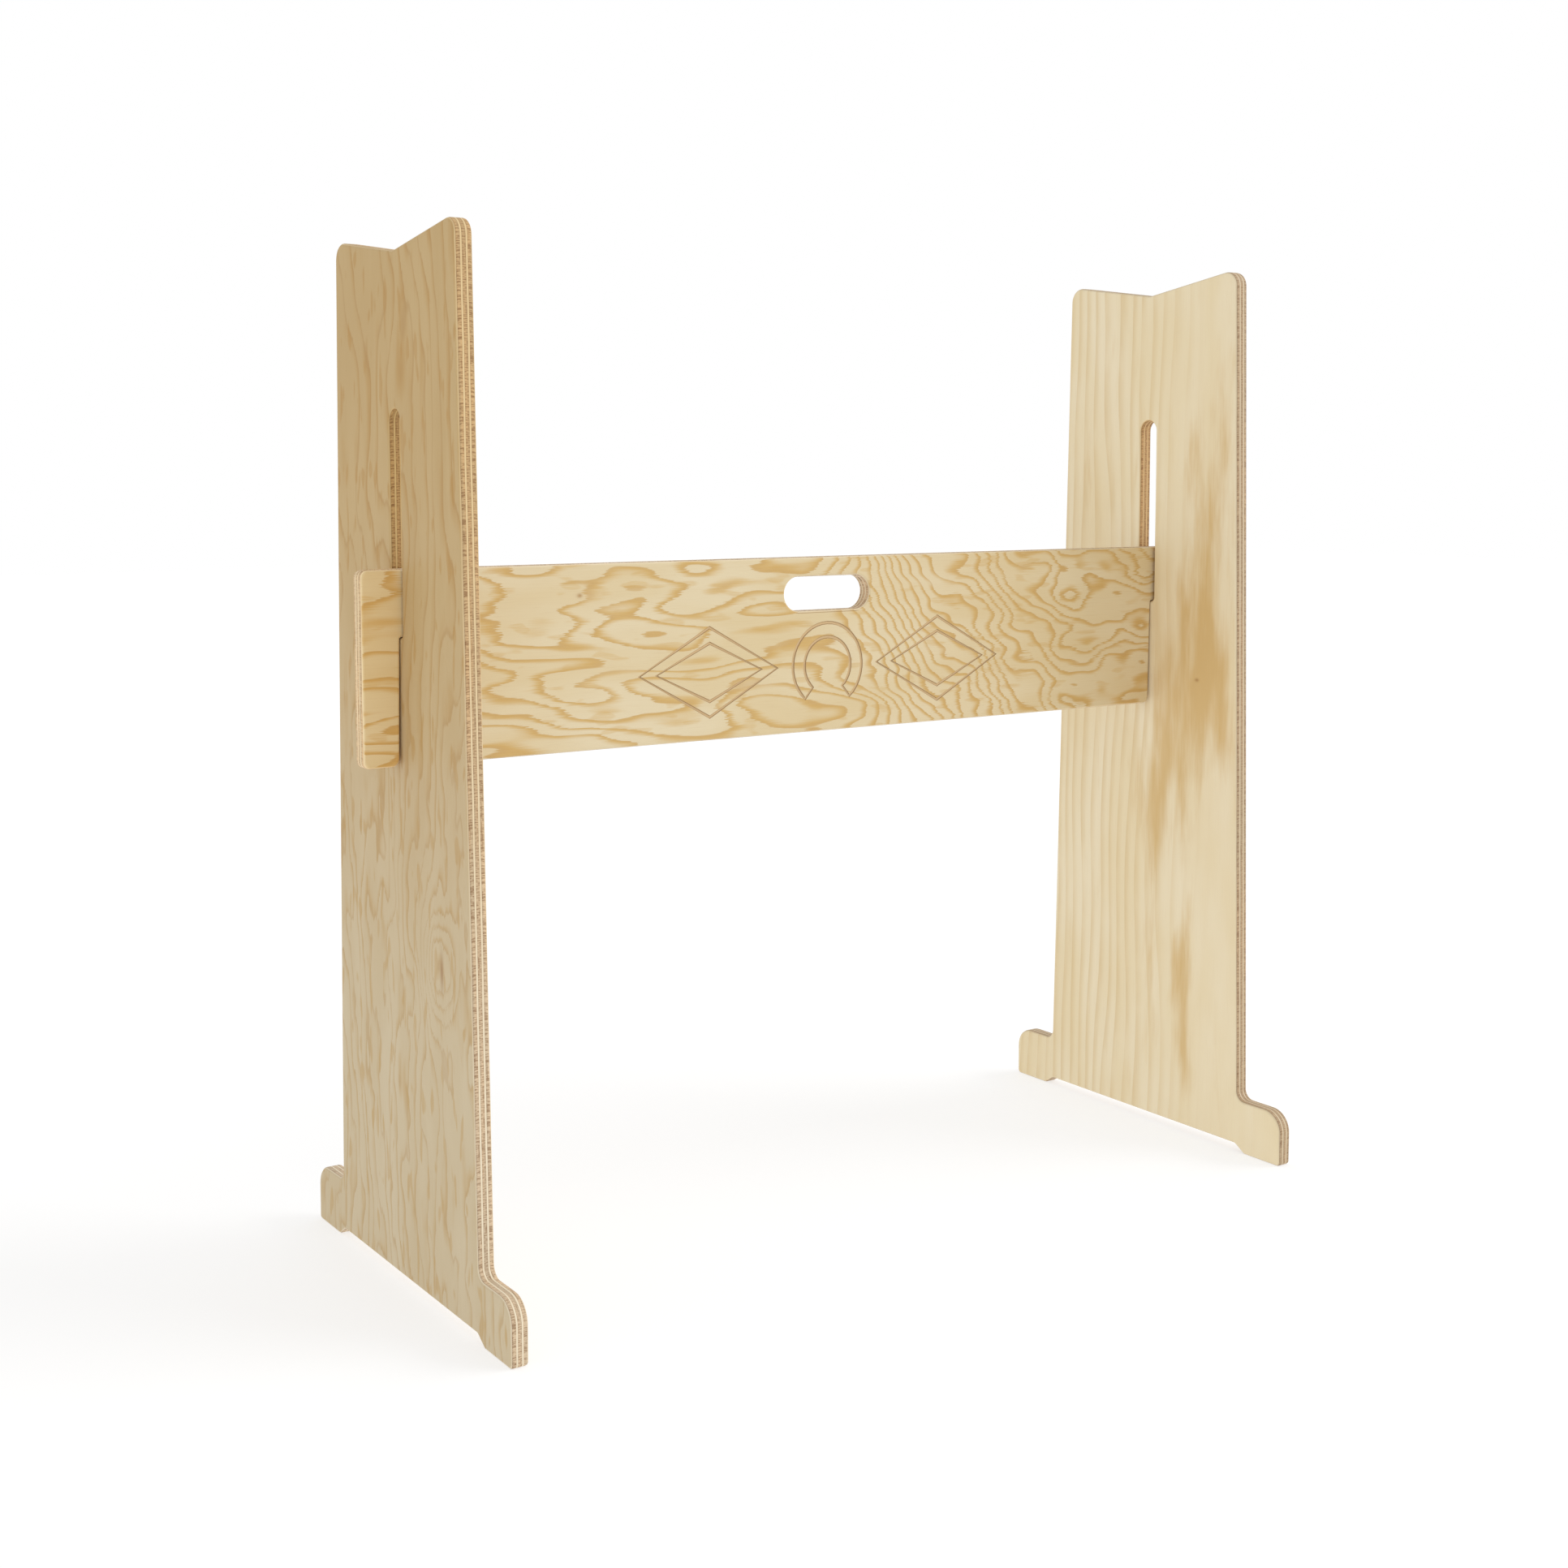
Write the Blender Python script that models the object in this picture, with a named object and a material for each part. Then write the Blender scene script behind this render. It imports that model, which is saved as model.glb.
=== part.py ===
"""A knock-down rack cut from three plywood boards.

Two uprights stand on spread feet and end in a shallow V that cradles the load. A crossbar passes
through the slot of each upright and drops, so that its two open notches straddle the boards under
the slots. There is no screw or glue: lifting the crossbar frees the uprights.

Metres, +Z up. X runs along the crossbar and Y across the uprights. The origin is on the floor,
under the middle of the crossbar.
"""
import math

import bmesh
import bpy
from mathutils import Vector
from mathutils.geometry import delaunay_2d_cdt

# Stock
BOARD = 0.018               # plywood thickness
EDGE_ROUND = 0.003          # round-over along every edge
TOUCH_GAP = 0.0003          # left between faces that rest on each other

# Uprights
HEIGHT = 1.000
CLEAR_SPAN = 0.947          # between the inner faces of the two uprights
TOP_WIDTH = 0.264
BASE_WIDTH = 0.309          # the two tapered sides, carried on down to the floor
FOOT_SPREAD = 0.434         # over both feet
FOOT_HEIGHT = 0.060
FOOT_SHOULDER = 0.023       # radius of a foot's outer top corner
FOOT_FILLET = 0.011         # radius where a foot meets the tapered side
FOOT_CORNER = 0.0045        # radius of a foot's bottom corner
FOOT_PAD = 0.052            # length of a foot's flat on the floor
RECESS_HEIGHT = 0.009       # between the feet
RECESS_RUN = 0.014          # length of the slope from a foot up into the recess
RECESS_CORNER = 0.006
CRADLE_SLOPE = math.radians(8.7)
ARM_ROUND = 0.016           # radius of the two corners of the V

# Slot in each upright
SLOT_WIDTH = 0.024
SLOT_TOP = 0.837
SLOT_BOTTOM = 0.625
SLOT_CORNER = 0.0045        # radius of its two bottom corners

# Crossbar
BAR_TOP = 0.689
BAR_HEIGHT = 0.185
TAB_LENGTH = 0.0395         # past each upright's outer face
BAR_CORNER = 0.007
HANDLE_LENGTH = 0.110
HANDLE_HEIGHT = 0.036
HANDLE_DROP = 0.0385        # from the top edge to the middle of the hand hole

# Notches in the crossbar
NOTCH_PLAY = 0.0005         # on each side of the board at the closed end
MOUTH_RELIEF = 0.0025       # the same at the open end, so that the notch tapers
MOUTH_CORNER = 0.008
NOTCH_CORNER = 0.002

# Engraving on the crossbar's front: a horseshoe between two nested lozenges
GROOVE_RADIUS = 0.0021
GROOVE_DEPTH = 0.0012
MOTIF_Z = 0.574
SHOE_RADII = (0.045, 0.030)
SHOE_OPENING = math.radians(40)     # half angle left open at the heels
LOZENGE_CENTRE = 0.149
LOZENGES = ((0.084, 0.046), (0.064, 0.030))     # half length and half height

ARC_STEP = math.radians(9)          # longest step along a rounded corner
ROUND_STEPS = 2                     # curve resolution of the round-overs
WELD_DISTANCE = 0.00001             # points closer than this are one point
FRONT = -1                          # the crossbar's engraved side faces -Y


def clear_scene():
    for item in list(bpy.data.objects):
        bpy.data.objects.remove(item, do_unlink=True)


def new_collection(name):
    collection = bpy.data.collections.new(name)
    bpy.context.scene.collection.children.link(collection)
    return collection


def wood(name, colour, roughness):
    material = bpy.data.materials.new(name)
    material.use_nodes = True
    shader = material.node_tree.nodes["Principled BSDF"]
    shader.inputs["Base Color"].default_value = (*colour, 1.0)
    shader.inputs["Roughness"].default_value = roughness
    shader.inputs["Metallic"].default_value = 0.0
    return material


def arc(centre, radius, start, sweep):
    """Points on an arc, both ends included."""
    steps = max(2, math.ceil(abs(sweep) / ARC_STEP))
    angles = [start + sweep * i / steps for i in range(steps + 1)]
    return [(centre[0] + radius * math.cos(a), centre[1] + radius * math.sin(a)) for a in angles]


def rounded(corners):
    """A closed outline from its corners (u, v, radius), each rounded by an arc."""
    points = []
    for i, (u, v, radius) in enumerate(corners):
        if radius == 0:
            points.append((u, v))
            continue
        before, after = corners[i - 1], corners[(i + 1) % len(corners)]
        back = math.atan2(before[1] - v, before[0] - u)
        ahead = math.atan2(after[1] - v, after[0] - u)
        opening = math.remainder(ahead - back, math.tau)
        reach = radius / math.sin(abs(opening) / 2)
        middle = back + opening / 2
        centre = (u + reach * math.cos(middle), v + reach * math.sin(middle))
        turn = -math.copysign(math.pi - abs(opening), opening)
        start = back - math.copysign(math.pi / 2, opening)
        points += arc(centre, radius, start, turn)
    return points


def mirrored(half):
    """Corners for +u, from bottom to top, followed by the same ones for -u, back down."""
    return half + [(-u, v, radius) for u, v, radius in reversed(half) if u != 0]


def encloses(lines, point):
    """Whether a point lies inside closed outlines, given as their separate straight lines."""
    crossed = 0
    for a, b in lines:
        if (a.y > point.y) != (b.y > point.y):
            crossed += point.x < a.x + (b.x - a.x) * (point.y - a.y) / (b.y - a.y)
    return crossed % 2 == 1


def refill_cap(work, side):
    """Fill a board's cap at +Z or -Z again, with triangles as even as its outlines allow."""
    top = BOARD / 2 - WELD_DISTANCE
    cap = {face for face in work.faces if all(vert.co.z * side > top for vert in face.verts)}
    rim = [edge for edge in work.edges if sum(face in cap for face in edge.link_faces) == 1]
    corners = list(dict.fromkeys(vert for edge in rim for vert in edge.verts))
    place = {vert: i for i, vert in enumerate(corners)}
    flat = [vert.co.xy for vert in corners]
    lines = [[place[vert] for vert in edge.verts] for edge in rim]
    outline = [[flat[i] for i in line] for line in lines]
    bmesh.ops.delete(work, geom=list(cap), context="FACES_ONLY")
    for triangle in delaunay_2d_cdt(flat, lines, [], 0, 0.0)[2]:
        if encloses(outline, sum((flat[i] for i in triangle), Vector((0, 0))) / 3):
            work.faces.new([corners[i] for i in triangle][::side])
    loose = [edge for edge in work.edges if not edge.link_faces]
    bmesh.ops.delete(work, geom=loose, context="EDGES")


def refill_caps(mesh):
    work = bmesh.new()
    work.from_mesh(mesh)
    for side in (-1, 1):
        refill_cap(work, side)
    work.to_mesh(mesh)
    work.free()


def mesh_object(curve_object, name, collection):
    """A closed mesh in the curve's place, with its caps welded on."""
    bpy.context.view_layer.update()
    evaluated = curve_object.evaluated_get(bpy.context.evaluated_depsgraph_get())
    mesh = bpy.data.meshes.new_from_object(evaluated)
    work = bmesh.new()
    work.from_mesh(mesh)
    bmesh.ops.remove_doubles(work, verts=work.verts, dist=WELD_DISTANCE)
    bmesh.ops.recalc_face_normals(work, faces=work.faces)
    work.to_mesh(mesh)
    work.free()
    mesh.name = name
    solid = bpy.data.objects.new(name, mesh)
    collection.objects.link(solid)
    solid.matrix_world = curve_object.matrix_world.copy()
    bpy.data.objects.remove(curve_object)
    return solid


def board(name, outlines, location, rotation, material, collection):
    """A board from its outer outline and its holes, with every edge rounded over."""
    curve = bpy.data.curves.new(name + "_outline", "CURVE")
    curve.dimensions = "2D"
    curve.fill_mode = "BOTH"
    curve.extrude = BOARD / 2 - EDGE_ROUND
    curve.bevel_depth = EDGE_ROUND
    curve.bevel_resolution = ROUND_STEPS
    curve.offset = -EDGE_ROUND
    for outline in outlines:
        spline = curve.splines.new("POLY")
        spline.points.add(len(outline) - 1)
        for point, (u, v) in zip(spline.points, outline):
            point.co = (u, v, 0, 1)
        spline.use_cyclic_u = True
    outline_object = bpy.data.objects.new(name + "_outline", curve)
    collection.objects.link(outline_object)
    outline_object.location = location
    outline_object.rotation_euler = rotation
    solid = mesh_object(outline_object, name, collection)
    refill_caps(solid.data)
    solid.data.materials.clear()
    solid.data.materials.append(material)
    return solid


def upright_outlines():
    """Outer outline and slot, in (across, up) with the foot of the centre line at zero."""
    def side(z):
        return (BASE_WIDTH + (TOP_WIDTH - BASE_WIDTH) * z / HEIGHT) / 2

    spread = FOOT_SPREAD / 2
    pad_end = spread - FOOT_PAD
    # The V is tangent to both arm roundings, whose tops are at the full height.
    arm_y, arm_z = TOP_WIDTH / 2 - ARM_ROUND, HEIGHT - ARM_ROUND
    valley = arm_z + (ARM_ROUND - arm_y * math.sin(CRADLE_SLOPE)) / math.cos(CRADLE_SLOPE)
    half = [
        (pad_end - RECESS_RUN, RECESS_HEIGHT, RECESS_CORNER),
        (pad_end, 0, RECESS_CORNER),
        (spread, 0, FOOT_CORNER),
        (spread, FOOT_HEIGHT, FOOT_SHOULDER),
        (side(FOOT_HEIGHT), FOOT_HEIGHT, FOOT_FILLET),
        (side(HEIGHT), valley + side(HEIGHT) * math.tan(CRADLE_SLOPE), ARM_ROUND),
        (0, valley, 0),
    ]
    slot_half = SLOT_WIDTH / 2
    arch = arc((0, SLOT_TOP - slot_half), slot_half, math.pi, -math.pi)
    foot = rounded([
        (slot_half, SLOT_TOP - slot_half, 0),
        (slot_half, SLOT_BOTTOM, SLOT_CORNER),
        (-slot_half, SLOT_BOTTOM, SLOT_CORNER),
        (-slot_half, SLOT_TOP - slot_half, 0),
    ])
    return [rounded(mirrored(half)), arch[:-1] + foot[:-1]]


def crossbar_outlines():
    """Outer outline with both notches, and the hand hole, in (along, up)."""
    bottom = BAR_TOP - BAR_HEIGHT
    end = CLEAR_SPAN / 2 + BOARD + TAB_LENGTH
    roof = SLOT_BOTTOM + TOUCH_GAP
    inner, outer = CLEAR_SPAN / 2, CLEAR_SPAN / 2 + BOARD
    half = [
        (inner - MOUTH_RELIEF, bottom, MOUTH_CORNER),
        (inner - NOTCH_PLAY, roof, NOTCH_CORNER),
        (outer + NOTCH_PLAY, roof, NOTCH_CORNER),
        (outer + MOUTH_RELIEF, bottom, MOUTH_CORNER),
        (end, bottom, BAR_CORNER),
        (end, BAR_TOP, BAR_CORNER),
    ]
    middle = BAR_TOP - HANDLE_DROP
    radius = HANDLE_HEIGHT / 2
    straight = HANDLE_LENGTH / 2 - radius
    handle = arc((-straight, middle), radius, -math.pi / 2, -math.pi)
    handle += arc((straight, middle), radius, math.pi / 2, -math.pi)
    return [rounded(mirrored(half)), handle]


def motif_lines():
    """The engraved closed lines, in (along, up)."""
    outer, inner = SHOE_RADII
    first = -math.pi / 2 + SHOE_OPENING
    sweep = math.tau - 2 * SHOE_OPENING
    shoe = arc((0, MOTIF_Z), outer, first, sweep)
    shoe += arc((0, MOTIF_Z), inner, first + sweep, -sweep)
    lines = [shoe]
    for sign in (-1, 1):
        for length, height in LOZENGES:
            u = sign * LOZENGE_CENTRE
            lines.append([
                (u - length, MOTIF_Z), (u, MOTIF_Z - height),
                (u + length, MOTIF_Z), (u, MOTIF_Z + height),
            ])
    return lines


def engrave(solid, lines, cutters):
    """Cut each line into the front face with a ball-nosed groove."""
    face = FRONT * (BOARD / 2 + GROOVE_RADIUS - GROOVE_DEPTH)
    for number, line in enumerate(lines, start=1):
        name = f"groove_{number}"
        curve = bpy.data.curves.new(name + "_path", "CURVE")
        curve.dimensions = "3D"
        curve.bevel_depth = GROOVE_RADIUS
        curve.bevel_resolution = ROUND_STEPS
        spline = curve.splines.new("POLY")
        spline.points.add(len(line) - 1)
        for point, (u, v) in zip(spline.points, line):
            point.co = (u, face, v, 1)
        spline.use_cyclic_u = True
        path = bpy.data.objects.new(name + "_path", curve)
        cutters.objects.link(path)
        cutter = mesh_object(path, name, cutters)
        cutter.hide_render = True
        cutter.display_type = "WIRE"
        cut = solid.modifiers.new(name, "BOOLEAN")
        cut.operation = "DIFFERENCE"
        cut.solver = "EXACT"
        cut.object = cutter


def shade(solid):
    solid.data.shade_smooth()
    solid.data.set_sharp_from_angle(angle=math.radians(40))


def build():
    clear_scene()
    rack = new_collection("saddle_rack")
    cutters = new_collection("cutters")
    quarter = math.pi / 2

    offset = (CLEAR_SPAN + BOARD) / 2
    uprights = (
        ("left_upright", -offset, wood("left_upright_pine", (0.62, 0.48, 0.28), 0.55)),
        ("right_upright", offset, wood("right_upright_pine", (0.76, 0.63, 0.40), 0.55)),
    )
    for name, x, material in uprights:
        shade(board(name, upright_outlines(), (x, 0, 0), (quarter, 0, quarter), material, rack))

    material = wood("crossbar_pine", (0.72, 0.56, 0.32), 0.5)
    crossbar = board("crossbar", crossbar_outlines(), (0, 0, 0), (quarter, 0, 0), material, rack)
    shade(crossbar)
    engrave(crossbar, motif_lines(), cutters)


build()
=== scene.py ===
import math

import bpy
from mathutils import Matrix, Vector


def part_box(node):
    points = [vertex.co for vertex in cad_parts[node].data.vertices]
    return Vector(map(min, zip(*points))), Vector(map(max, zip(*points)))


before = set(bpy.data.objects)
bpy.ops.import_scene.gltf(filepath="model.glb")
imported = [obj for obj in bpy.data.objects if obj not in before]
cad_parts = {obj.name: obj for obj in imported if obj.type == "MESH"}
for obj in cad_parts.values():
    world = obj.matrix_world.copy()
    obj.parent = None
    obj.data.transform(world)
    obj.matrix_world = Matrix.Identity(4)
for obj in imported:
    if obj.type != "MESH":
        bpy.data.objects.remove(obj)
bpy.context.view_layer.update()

# Camera: where it stands, where it looks, and its lens
CAMERA_PLACE = (-1.2704, -1.7364, 0.7728)
CAMERA_YAW = math.radians(32.0)         # to the right of +Y
CAMERA_PITCH = math.radians(-4.526)
CAMERA_ROLL = math.radians(0.239)
CAMERA_SENSOR = 36.0                    # mm
CAMERA_LENS = 46.47                     # mm
CAMERA_SHIFT = (0.0697, -0.0933)
CAMERA_CLIP = (0.05, 60.0)

# Light
ROOM_SEEN = 1.0                         # brightness of the white room as a background
ROOM_LIGHT = 0.80                       # and as a light
SUN = 1.15
SUN_FROM = (0.80, -0.42, 0.50)
SUN_SPREAD = math.radians(42)

# Floor
FLOOR_HALF = 15.0
FLOOR_ALBEDO = 0.46
FLOOR_GLOW = 0.59
FLOOR_ROUGHNESS = 0.9

# Boards
BOARD = 0.018
GROOVE_DEPTH = 0.0012
GROOVE_PAST = 0.0004                    # the groove's colour fades out this far below its bottom
GROOVE_BLUR = 0.001                     # soft border of the engraved field
SLOT_HEIGHT = (0.624, 0.838)            # bottom and top of the uprights' slots
SLOT_HALF = 0.0122                      # half their width
SLOT_BLUR = 0.002
WELD_DISTANCE = 0.00001
FACE_WEIGHT = 100                       # the large faces set the normals beside them

# Plies: thick ones across the board between thin ones along it
PLY_SPACING = 0.0056                    # from the middle of one cross ply to the next
PLY_WANDER = 0.0009                     # how far they stray through the thickness
CROSS_HALF = 0.0019                     # half the thickness of a cross ply
CROSS_BLUR = 0.0001                     # half the soft border of a cross ply
SEAM = 0.0002                           # width of the dark line just inside that border
SEAM_BLUR = 0.00015
SEAM_SHARE = 0.5
FACE_TURN = (0.55, 0.97)                # the normal's part through the board: all edge, all face
LONG_SHARE = 0.85                       # colour of the long plies over the veneer's

# Wood: its surface
ROUGHNESS = (0.5, 0.12)                 # of the wood, and what the grain adds
SPECULAR = 0.3
BUMP_STRENGTH = 0.4
BUMP_HEIGHT = 0.0003
LATE_HEIGHT = 0.6                       # of the late wood, beside the fibres

# Wood: where each noise or ring starts to show, and where it shows in full
LATE_FULL = 0.93                        # late wood is darkest from here
RIM_START = 0.82                        # the thin dark rim before it stops
RING_END = (0.95, 1.0)                  # where it gives way to the next ring
RIPPLE_TEETH = 0.007                    # their saw teeth
RIPPLE_ONSET = 0.2                      # distance over which ripples set in
OCHRE = (0.56, 1.02)
OCHRE_TEETH = 0.16
CLOUD = (0.32, 0.68)
BRUSH = (0.62, 0.76)                    # strength of the late wood, and what the fibres add
FLAME = (0.60, 0.68)
FLAME_FIBRE = (0.30, 0.55)
STREAK = (0.50, 0.80)
MARK_SHARE = 0.8

# Cut edges: the same for their noises, and how strongly they show
TONE = (0.35, 0.65)
HATCH = (0.38, 0.58)
HATCH_SHARE = (0.42, 0.38)              # on a board's ends, and what its long edges add
PORES = (0.60, 0.72, 0.35)
CRACK = (0.64, 0.70, 0.6)
THREAD = (0.50, 0.70, 0.35)

# Noises of the wood: features to the metre along and across, seed, detail and roughness. From hatch to
# thread they are on the cut edges, where across means through the board.
NOISES = {
    "comb": (30, 800, 3, 2.0, 0.6),     # saw teeth of the late wood
    "sway": (2.5, 4, 11, 1.0, 0.5),     # slow bends of the rings
    "fade": (9, 28, 17, 2.0, 0.6),      # where the late wood is missing
    "fibre": (22, 1150, 23, 3.0, 0.7),
    "cloud": (5, 18, 29, 2.0, 0.5),     # pale and warm areas
    "flame": (24, 85, 43, 1.0, 0.5),    # short ochre flecks
    "ochre": (6, 36, 51, 3.0, 0.58),    # large ochre areas
    "teeth": (20, 520, 57, 2.0, 0.6),   # and their ragged ends
    "hatch": (900, 90, 31, 2.0, 0.75),  # rough end grain of the cross plies
    "pores": (300, 900, 37, 2.0, 0.7),
    "tone": (6, 170, 39, 1.0, 0.5),
    "thread": (30, 1500, 41, 2.0, 0.65),    # fibres of the long plies
    "wander": (12, 12, 0, 2.0, 0.5),    # of the plies through the thickness
}
WAVE_SEED = 7
WAVE_SEED_STEP = 2                      # from one of a board's waves to the next
WAVE_DETAIL = (2.0, 0.42)               # detail and roughness
CRACK_SLANT = (60, 260)                 # features to the metre along the edge and through the board
CRACK_THROUGH = 700
CRACK_ALONG = 18
CRACK_DETAIL = 1.0

AXES = {"x": 0, "y": 1, "z": 2}
MIX_SHARE, MIX_A, MIX_B, MIX_RESULT = 0, 6, 7, 2     # sockets of a Mix node that mixes colours


def rgb(red, green, blue):
    """A shader colour from screen values 0 to 255."""
    def linear(v):
        v /= 255
        return v / 12.92 if v <= 0.04045 else ((v + 0.055) / 1.055) ** 2.4
    return (linear(red), linear(green), linear(blue), 1.0)


def studio():
    """A white room with one large soft light, on the right and about 29 degrees up."""
    scene = bpy.context.scene
    scene.view_settings.view_transform = "Standard"
    world = bpy.data.worlds.new("studio")
    scene.world = world
    world.use_nodes = True
    tree = world.node_tree
    tree.nodes.clear()
    ray = tree.nodes.new("ShaderNodeLightPath")
    mix = tree.nodes.new("ShaderNodeMixShader")
    output = tree.nodes.new("ShaderNodeOutputWorld")
    for socket, strength in ((1, ROOM_LIGHT), (2, ROOM_SEEN)):
        room = tree.nodes.new("ShaderNodeBackground")
        room.inputs["Color"].default_value = (1.0, 1.0, 1.0, 1.0)
        room.inputs["Strength"].default_value = strength
        tree.links.new(room.outputs[0], mix.inputs[socket])
    tree.links.new(ray.outputs["Is Camera Ray"], mix.inputs[0])
    tree.links.new(mix.outputs[0], output.inputs["Surface"])

    data = bpy.data.lights.new("key", "SUN")
    data.energy = SUN
    data.angle = SUN_SPREAD
    lamp = bpy.data.objects.new("key", data)
    scene.collection.objects.link(lamp)
    lamp.rotation_euler = Vector(SUN_FROM).to_track_quat("Z", "Y").to_euler()


def floor():
    """A plane that glows, so that it looks white and its shadows are faint."""
    mesh = bpy.data.meshes.new("floor")
    corners = [(x * FLOOR_HALF, y * FLOOR_HALF, 0) for x, y in ((-1, -1), (1, -1), (1, 1), (-1, 1))]
    mesh.from_pydata(corners, [], [(0, 1, 2, 3)])
    plane = bpy.data.objects.new("floor", mesh)
    bpy.context.scene.collection.objects.link(plane)
    material = bpy.data.materials.new("floor_white")
    material.use_nodes = True
    shader = material.node_tree.nodes["Principled BSDF"]
    shader.inputs["Base Color"].default_value = (FLOOR_ALBEDO, FLOOR_ALBEDO, FLOOR_ALBEDO, 1.0)
    shader.inputs["Roughness"].default_value = FLOOR_ROUGHNESS
    shader.inputs["Specular IOR Level"].default_value = 0.0
    shader.inputs["Emission Color"].default_value = (1.0, 1.0, 1.0, 1.0)
    shader.inputs["Emission Strength"].default_value = FLOOR_GLOW
    mesh.materials.append(material)


def camera():
    """The camera, turned by its yaw, pitch and roll."""
    data = bpy.data.cameras.new("camera")
    data.sensor_width = CAMERA_SENSOR
    data.lens = CAMERA_LENS
    data.shift_x, data.shift_y = CAMERA_SHIFT
    data.clip_start, data.clip_end = CAMERA_CLIP
    eye = bpy.data.objects.new("camera", data)
    bpy.context.scene.collection.objects.link(eye)
    a, e = CAMERA_YAW, CAMERA_PITCH
    forward = Vector((math.sin(a) * math.cos(e), math.cos(a) * math.cos(e), math.sin(e)))
    level = Vector((math.cos(a), -math.sin(a), 0.0))
    up = level.cross(forward)
    c, s = math.cos(CAMERA_ROLL), math.sin(CAMERA_ROLL)
    right, top = c * level - s * up, s * level + c * up
    turn = Matrix((right, top, -forward)).transposed()
    eye.matrix_world = Matrix.Translation(CAMERA_PLACE) @ turn.to_4x4()
    bpy.context.scene.camera = eye


class Wiring:
    """Short calls for the shader nodes that the woods are made of."""

    def __init__(self, material):
        material.use_nodes = True
        self.tree = material.node_tree
        self.shader = self.tree.nodes["Principled BSDF"]

    def node(self, kind, **settings):
        made = self.tree.nodes.new("ShaderNode" + kind)
        for name, value in settings.items():
            setattr(made, name, value)
        return made

    def feed(self, socket, value):
        if isinstance(value, bpy.types.NodeSocket):
            self.tree.links.new(value, socket)
        else:
            socket.default_value = value

    def calc(self, operation, *values):
        made = self.node("Math", operation=operation)
        for socket, value in zip(made.inputs, values):
            self.feed(socket, value)
        return made.outputs[0]

    def add(self, a, b):
        return self.calc("ADD", a, b)

    def times(self, a, b):
        return self.calc("MULTIPLY", a, b)

    def rest(self, value):
        """What is left of 1."""
        return self.calc("SUBTRACT", 1.0, value)

    def point(self, x, y, z):
        made = self.node("CombineXYZ")
        for socket, value in zip(made.inputs, (x, y, z)):
            self.feed(socket, value)
        return made.outputs[0]

    def noise(self, x, y, z, detail, roughness=0.5):
        """Soft noise from 0 to 1, around 0.5, with one feature to each unit of the point."""
        made = self.node("TexNoise")
        self.feed(made.inputs["Vector"], self.point(x, y, z))
        made.inputs["Scale"].default_value = 1.0
        made.inputs["Detail"].default_value = detail
        made.inputs["Roughness"].default_value = roughness
        return made.outputs[0]

    def wood(self, kind, along, across, seed):
        """One of the wood's own noises, at a place in metres."""
        fine, wide, own_seed, *detail = NOISES[kind]
        return self.noise(self.times(along, fine), self.times(across, wide), seed + own_seed, *detail)

    def step(self, value, low, high):
        """0 below low and 1 above high, smooth between them."""
        made = self.node("MapRange", interpolation_type="SMOOTHSTEP")
        self.feed(made.inputs["Value"], value)
        self.feed(made.inputs["From Min"], low)
        self.feed(made.inputs["From Max"], high)
        return made.outputs[0]

    def share(self, value, low, high, most):
        """0 below low and most above high."""
        return self.times(self.step(value, low, high), most)

    def offset(self, noise, reach):
        """Noise around 0.5 as a distance around 0, half of reach each way."""
        return self.times(self.add(noise, -0.5), reach)

    def inside(self, value, low, high, soft):
        """1 from low to high, fading to 0 over the distance soft."""
        return self.times(self.step(value, low - soft, low), self.rest(self.step(value, high, high + soft)))

    def hill(self, g, c, place, size):
        """A bump of height 1 at a place (along, across) on the board."""
        u = self.times(self.add(g, -place[0]), 1 / size[0])
        v = self.times(self.add(c, -place[1]), 1 / size[1])
        far = self.add(self.times(u, u), self.times(v, v))
        return self.calc("EXPONENT", self.times(far, -1.0))

    def blend(self, share, a, b, mode="MIX"):
        """Colour a with that share of colour b."""
        made = self.node("Mix", data_type="RGBA", blend_type=mode)
        self.feed(made.inputs[MIX_SHARE], share)
        self.feed(made.inputs[MIX_A], a)
        self.feed(made.inputs[MIX_B], b)
        return made.outputs[MIX_RESULT]


def rings(w, g, c, depth, look):
    """The growth rings that the knife cut through: late wood from 0 to 1, and each ring's phase."""
    seed = look["seed"]
    comb = w.wood("comb", g, c, seed)
    long_way = w.add(g, w.offset(comb, look["comb"]))
    bend = w.wood("sway", long_way, c, seed)
    off = w.add(w.add(c, -look["heart"]), w.offset(bend, look["sway"]))
    core = w.add(w.times(long_way, look["taper"]), look["core"])
    radius = w.calc("SQRT", w.add(w.times(off, off), w.times(core, core)))
    count = w.add(w.times(radius, look["rings"]), w.times(depth, look["slant"]))
    for number, (along, across, lift, start, end) in enumerate(look["waves"]):
        wave_seed = seed + WAVE_SEED + WAVE_SEED_STEP * number
        wave = w.noise(w.times(long_way, along), w.times(c, across), wave_seed, *WAVE_DETAIL)
        count = w.add(count, w.times(wave, w.times(w.step(g, start, end), lift)))
    for place, size, lift in look["swirls"]:
        count = w.add(count, w.times(w.hill(long_way, c, place, size), lift))
    if look["ripples"]:
        start, end, along, across, middle = look["ripples"]
        gentle = w.add(g, w.offset(comb, RIPPLE_TEETH))
        past = w.calc("MINIMUM", w.calc("MAXIMUM", w.add(gentle, -start), 0.0), end - start)
        lean = w.times(w.add(c, -middle), across)
        ripple = w.add(w.times(past, along), lean)
        count = w.add(count, w.times(ripple, w.step(g, start, start + RIPPLE_ONSET)))
    phase = w.calc("FRACT", count)
    return w.times(w.step(phase, look["late"], LATE_FULL), w.rest(w.step(phase, *RING_END))), phase


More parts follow.
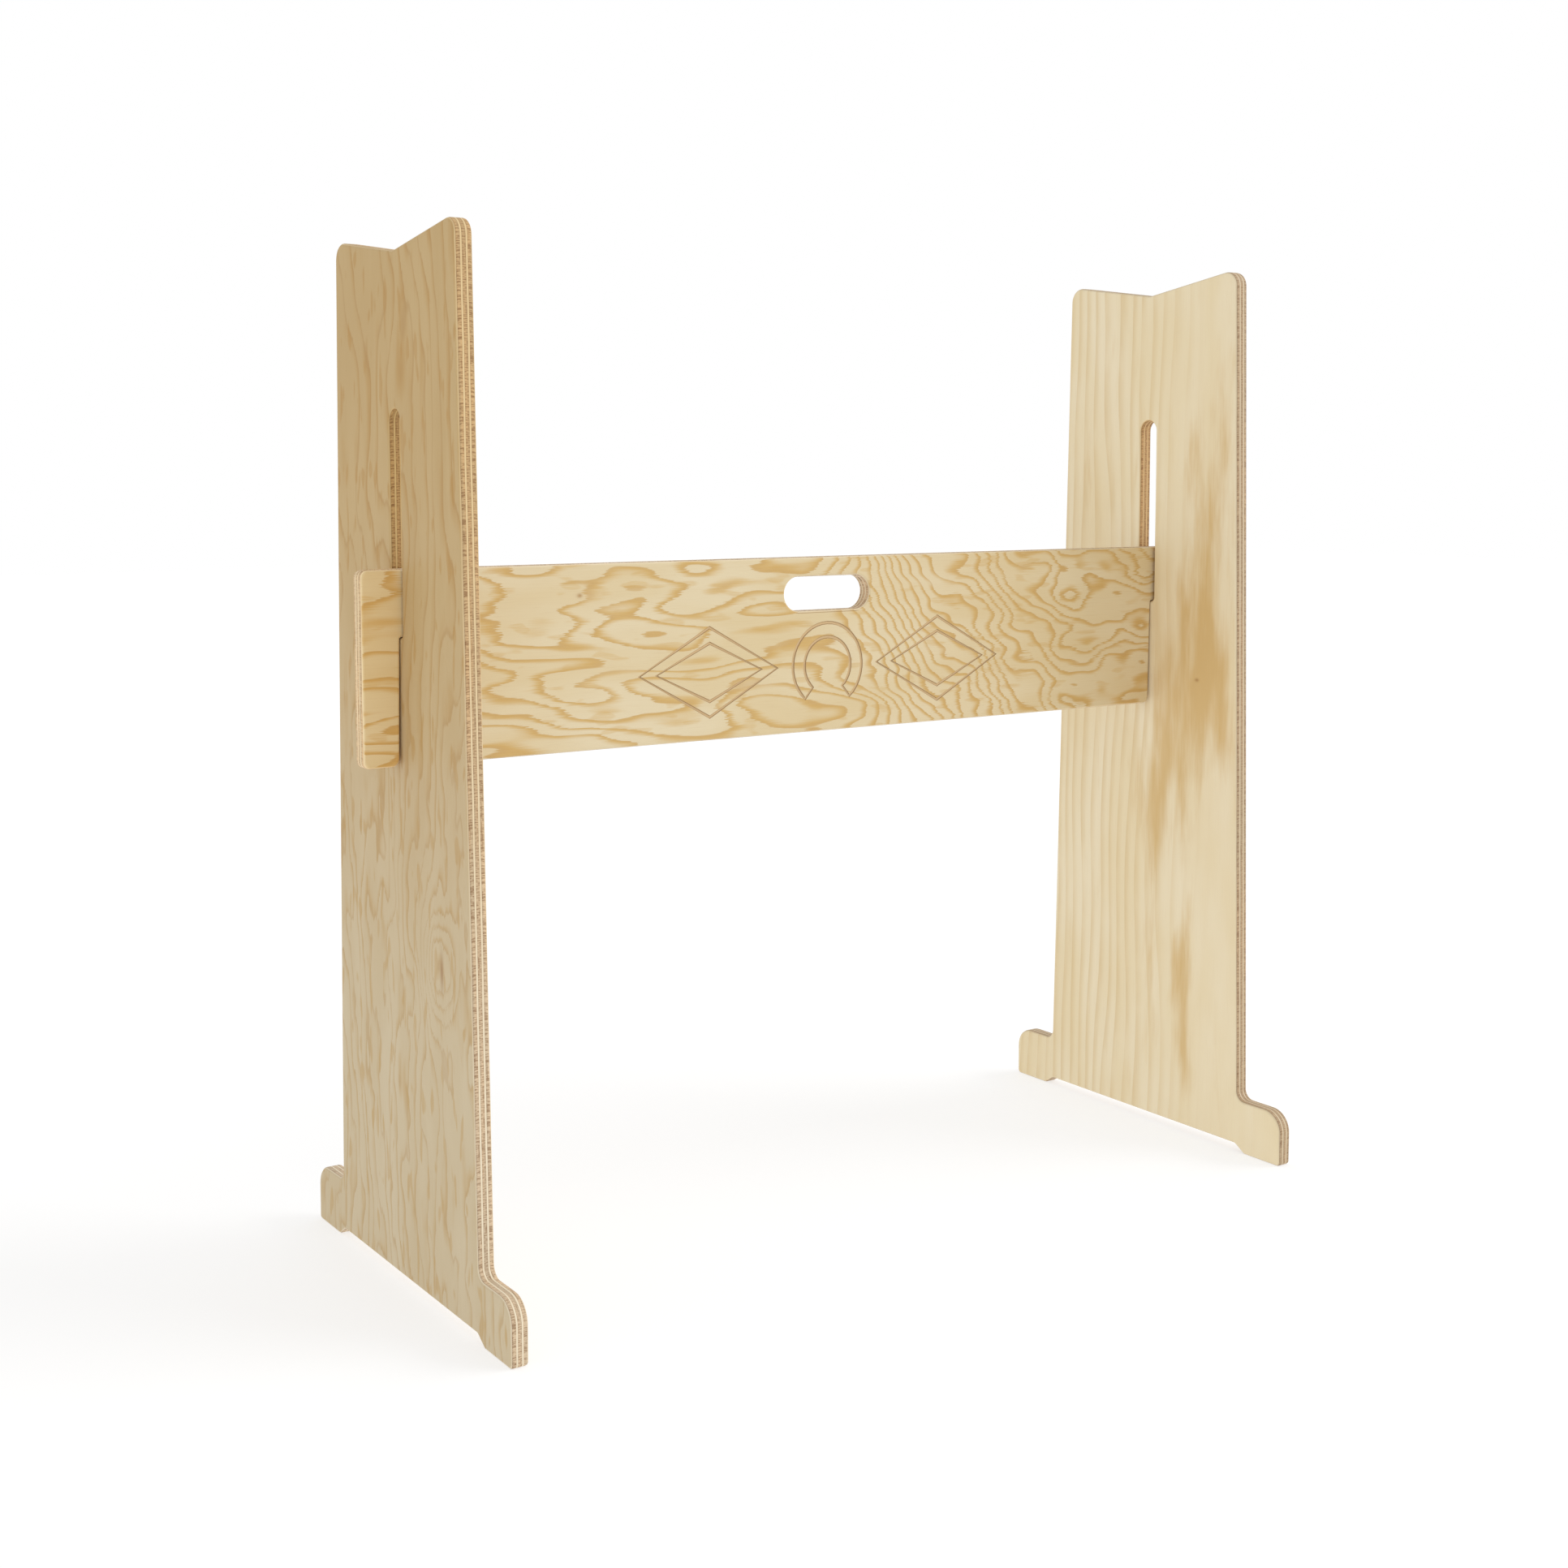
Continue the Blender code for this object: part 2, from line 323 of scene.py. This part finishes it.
def ochre_field(w, g, c, patches, seed):
    """Soft, streaky darker areas from 0 to 1: raised by some patches and lowered by others."""
    field = w.add(w.wood("ochre", g, c, seed), w.offset(w.wood("teeth", g, c, seed), OCHRE_TEETH))
    for place, size, lift in patches:
        field = w.add(field, w.times(w.hill(g, c, place, size), lift))
    return w.step(field, *OCHRE)


def face_colour(w, g, c, depth, look):
    """The veneer's colour, and the height of its grain."""
    seed = look["seed"]
    late, phase = rings(w, g, c, depth, look)
    late = w.times(late, w.step(w.wood("fade", g, c, seed), *look["fade"]))
    if look["lined"]:
        shown = w.step(c, *look["lined"])
        late = w.times(late, shown)
        phase = w.times(phase, shown)
    fibre = w.wood("fibre", g, c, seed)
    cloud = w.wood("cloud", g, c, seed)
    colour = w.blend(w.step(cloud, *CLOUD), look["pale"], look["warm"])
    if look["patches"]:
        colour = w.blend(ochre_field(w, g, c, look["patches"], seed), colour, look["patch_tone"])
    brushed = w.times(late, w.add(BRUSH[0], w.times(fibre, BRUSH[1])))
    colour = w.blend(w.times(brushed, look["contrast"]), colour, look["ochre"])
    rim = w.times(w.step(phase, RIM_START, LATE_FULL), w.rest(w.step(phase, *RING_END)))
    colour = w.blend(w.times(rim, look["rim"]), colour, look["line"])
    if look["flames"]:
        flame = w.wood("flame", g, c, seed)
        flame = w.times(w.step(flame, *FLAME), w.step(fibre, *FLAME_FIBRE))
        colour = w.blend(w.times(flame, look["flames"]), colour, look["ochre"])
    colour = w.blend(w.share(fibre, *STREAK, look["streak"]), colour, look["line"])
    for place, size, tone in look["marks"]:
        colour = w.blend(w.times(w.hill(g, c, place, size), MARK_SHARE), colour, tone)
    return colour, w.add(fibre, w.times(late, LATE_HEIGHT))


def edge_colours(w, g, c, depth, sideways, look):
    """Cut edges of the long plies and of the cross plies, and the roughness of the cross plies."""
    seed = look["seed"]
    run = w.add(g, c)
    hatch = w.wood("hatch", run, depth, seed)
    pores = w.wood("pores", run, depth, seed)
    tone = w.wood("tone", run, depth, seed)
    thread = w.wood("thread", run, depth, seed)
    slant = w.add(w.times(run, CRACK_SLANT[0]), w.times(depth, CRACK_SLANT[1]))
    crack = w.noise(slant, w.times(depth, CRACK_THROUGH), w.times(run, CRACK_ALONG), CRACK_DETAIL)
    pale, warm, dark = look["cross"]
    cross = w.blend(w.step(tone, *TONE), pale, warm)
    strength = w.add(HATCH_SHARE[0], w.times(sideways, HATCH_SHARE[1]))
    cross = w.blend(w.times(w.rest(w.step(hatch, *HATCH)), strength), cross, dark)
    cross = w.blend(w.share(pores, *PORES), cross, look["long"])
    cross = w.blend(w.share(crack, *CRACK), cross, dark)
    long = w.blend(w.share(thread, *THREAD), look["long"], pale)
    return long, cross, hatch


def plywood(name, grain, across, through, middle, look):
    """A board's wood: veneer figure on its faces and the plies on its edges.

    grain, across and through are the board's axes, and middle is where its centre plane lies.
    """
    material = bpy.data.materials.new(name)
    w = Wiring(material)
    coordinates = w.node("TexCoord")
    xyz, normal = w.node("SeparateXYZ"), w.node("SeparateXYZ")
    w.tree.links.new(coordinates.outputs["Object"], xyz.inputs[0])
    w.tree.links.new(coordinates.outputs["Normal"], normal.inputs[0])
    g, c = xyz.outputs[AXES[grain]], xyz.outputs[AXES[across]]
    depth = w.add(xyz.outputs[AXES[through]], -middle)

    face, grain_height = face_colour(w, g, c, depth, look)
    sideways = w.calc("ABSOLUTE", normal.outputs[AXES[across]])
    long, cross, hatch = edge_colours(w, g, c, depth, sideways, look)

    # How far the surface has turned from the face, and which kind of ply it cuts
    facing = w.calc("ABSOLUTE", normal.outputs[AXES[through]])
    turned = w.rest(w.step(facing, *FACE_TURN))
    wander = w.offset(w.wood("wander", g, c, look["seed"]), PLY_WANDER)
    wave = w.calc("PINGPONG", w.add(depth, wander), PLY_SPACING / 2)
    in_cross = w.rest(w.step(wave, CROSS_HALF - CROSS_BLUR, CROSS_HALF + CROSS_BLUR))
    seam = w.inside(wave, CROSS_HALF - SEAM, CROSS_HALF, SEAM_BLUR)
    colour = w.blend(w.times(turned, LONG_SHARE), face, long)
    colour = w.blend(in_cross, colour, cross)
    colour = w.blend(w.times(w.times(seam, turned), SEAM_SHARE), colour, look["cross"][2])

    # Tints over ranges of the board; on the crossbar's tab the tint is painted light, lifting the shade
    # that the left upright casts there.
    for along, wide, soft, tint in look["tints_and_painted_light"]:
        where = w.times(w.inside(g, *along, soft), w.inside(c, *wide, soft))
        colour = w.blend(where, colour, tint, "MULTIPLY")
    # The slot's walls are tinted browner, and on the left upright darker: painted shade of the recess.
    if look["slot"]:
        walls = w.times(w.inside(g, *SLOT_HEIGHT, SLOT_BLUR), w.inside(c, -SLOT_HALF, SLOT_HALF, SLOT_BLUR))
        colour = w.blend(w.times(walls, turned), colour, look["slot"], "MULTIPLY")
    if look["groove"]:
        along, wide, burns = look["groove"]
        inset = w.calc("ADD", depth, BOARD / 2)
        field = w.times(w.inside(g, *along, GROOVE_BLUR), w.inside(c, *wide, GROOVE_BLUR))
        above_bottom = w.step(inset, GROOVE_DEPTH + GROOVE_PAST, GROOVE_DEPTH)
        for start, full, tone in burns:
            burnt = w.times(w.step(inset, start, full), above_bottom)
            colour = w.blend(w.times(burnt, field), colour, tone)

    w.feed(w.shader.inputs["Base Color"], colour)
    w.feed(w.shader.inputs["Roughness"], w.add(ROUGHNESS[0], w.times(grain_height, ROUGHNESS[1])))
    w.shader.inputs["Specular IOR Level"].default_value = SPECULAR
    height = w.add(w.times(w.rest(turned), grain_height), w.times(w.times(turned, in_cross), hatch))
    bump = w.node("Bump")
    bump.inputs["Strength"].default_value = BUMP_STRENGTH
    bump.inputs["Distance"].default_value = BUMP_HEIGHT
    w.feed(bump.inputs["Height"], height)
    w.feed(w.shader.inputs["Normal"], bump.outputs[0])
    return material


def dress(node, material):
    """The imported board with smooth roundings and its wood."""
    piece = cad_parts[node]
    weld = piece.modifiers.new("weld", "WELD")
    weld.merge_threshold = WELD_DISTANCE
    even = piece.modifiers.new("even_normals", "WEIGHTED_NORMAL")
    even.weight = FACE_WEIGHT
    piece.data.shade_smooth()
    piece.data.materials.clear()
    piece.data.materials.append(material)


# Looks. Places, sizes and ranges are in metres: (along, across) the board, or (start, end).
#   heart, taper, core: where the trunk's middle is across the board, how it leans, how deep it lies
#   rings, slant: rings to the metre, and how many through the thickness
#   comb, sway: the rings' saw teeth and slow bends
#   waves: features along and across, lift in rings, and the range over which they set in
#   swirls, patches: place, size and lift;  marks: place, size and colour
#   ripples: start, end, rings along and across, and the height that they lean about
#   lined: the range across the board in which the rings set in
#   late: a ring's phase where late wood starts;  fade: the noise in which late wood shows
#   contrast, rim, streak, flames: how strongly these show
#   pale, warm, ochre, line: colours of the veneer;  long, cross: colours of the plies' cut edges
#   tints_and_painted_light: range along, range across, soft border and tint;  slot: tint of the slot's
#       walls
#   groove: range along, range across, and the burnt colours with the depths where they start and fill
PAST = 9.0                              # a range that ends here goes past the board
EVERYWHERE = (-PAST, PAST)
PINE = {
    "comb": 0.016, "slant": 60.0, "core": 0.05, "late": 0.5, "streak": 0.3, "flames": 0.0,
    "swirls": (), "ripples": None, "lined": None, "patches": (), "tints_and_painted_light": (), "slot": None, "groove": None,
    "line": rgb(198, 168, 124), "long": rgb(240, 227, 200),
    "cross": (rgb(224, 197, 162), rgb(206, 187, 158), rgb(144, 110, 78)),
}
LEFT = dict(
    PINE, seed=3.0, heart=0.35, sway=0.22, taper=0.12, rings=46.0,
    waves=((5, 18, 4.0, -2.0, -1.0), (14, 40, 2.2, 0.75, 0.4)),
    swirls=(((0.33, -0.085), (0.05, 0.035), 4.0), ((0.30, -0.02), (0.05, 0.03), -2.2)),
    contrast=0.62, rim=0.42, streak=0.26, flames=0.72, fade=(0.3, 0.65),
    pale=rgb(211, 194, 161), warm=rgb(206, 187, 151), ochre=rgb(196, 163, 108), line=rgb(188, 157, 112),
    marks=(((0.325, -0.088), (0.016, 0.003), rgb(168, 130, 90)),),
    # darker and warmer towards the top
    tints_and_painted_light=(((0.80, PAST), EVERYWHERE, 0.65, (0.89, 0.765, 0.55, 1.0)),),
    # browner and darker slot walls: painted shade of the recess
    slot=(0.85, 0.80, 0.635, 1.0),
)
RIGHT = dict(
    PINE, seed=8.0, heart=-0.30, sway=0.05, taper=0.05, rings=62.0, comb=0.008,
    waves=((1.6, 11, 2.4, -2.0, -1.0),),
    lined=(-0.13, 0.03), contrast=0.42, rim=0.10, streak=0.18, fade=(0.14, 0.62), late=0.3,
    patches=(
        ((0.53, -0.085), (0.16, 0.060), 0.50),
        ((0.82, -0.100), (0.13, 0.022), 0.26),
        ((0.36, -0.018), (0.16, 0.018), 0.38),
        ((0.30, -0.117), (0.12, 0.026), -0.30),
        ((0.19, -0.060), (0.055, 0.017), 0.42),
        ((0.09, -0.076), (0.055, 0.015), 0.40),
    ),
    patch_tone=rgb(219, 187, 130),
    marks=(((0.537, -0.083), (0.002, 0.003), rgb(176, 132, 80)),),
    pale=rgb(242, 228, 196), warm=rgb(238, 221, 183), ochre=rgb(216, 186, 130), line=rgb(210, 182, 138),
    long=rgb(212, 194, 162), cross=(rgb(196, 166, 130), rgb(184, 162, 130), rgb(140, 108, 78)),
    slot=(1.12, 0.98, 0.72, 1.0),
)
BAR = dict(
    PINE, seed=1.0, heart=0.45, sway=0.1, taper=0.02, rings=24.0, comb=0.024,
    waves=((5, 20, 8.0, 0.26, 0.0), (9, 17, 8.5, -0.02, 0.26)), ripples=(-0.04, 0.33, 46.0, 22.0, 0.6),
    contrast=0.98, rim=0.36, fade=(0.16, 0.46), flames=0.40,
    pale=rgb(223, 208, 174), warm=rgb(218, 199, 158), ochre=rgb(205, 168, 98),
    marks=(((-0.3005, 0.6578), (0.003, 0.002), rgb(172, 132, 82)),),
    groove=(
        (-0.24, 0.24), (0.52, 0.63),
        ((0.00004, 0.0002, rgb(160, 124, 84)), (0.0006, 0.0009, rgb(212, 182, 136))),
    ),
    tints_and_painted_light=(
        # darker and warmer towards the bar's right end
        ((0.40, PAST), EVERYWHERE, 0.75, (0.97, 0.93, 0.86, 1.0)),
        # the tab beyond the left upright: warmer, and painted light that lifts the shade the upright casts
        # on it
        ((-PAST, -0.492), EVERYWHERE, 0.004, (1.16, 1.07, 0.90, 1.0)),
    ),
)

studio()
floor()
camera()

for node, look in (("left_upright", LEFT), ("right_upright", RIGHT)):
    low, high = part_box(node)
    dress(node, plywood(node + "_plywood", "z", "y", "x", (low.x + high.x) / 2, look))
dress("crossbar", plywood("crossbar_plywood", "x", "z", "y", 0.0, BAR))
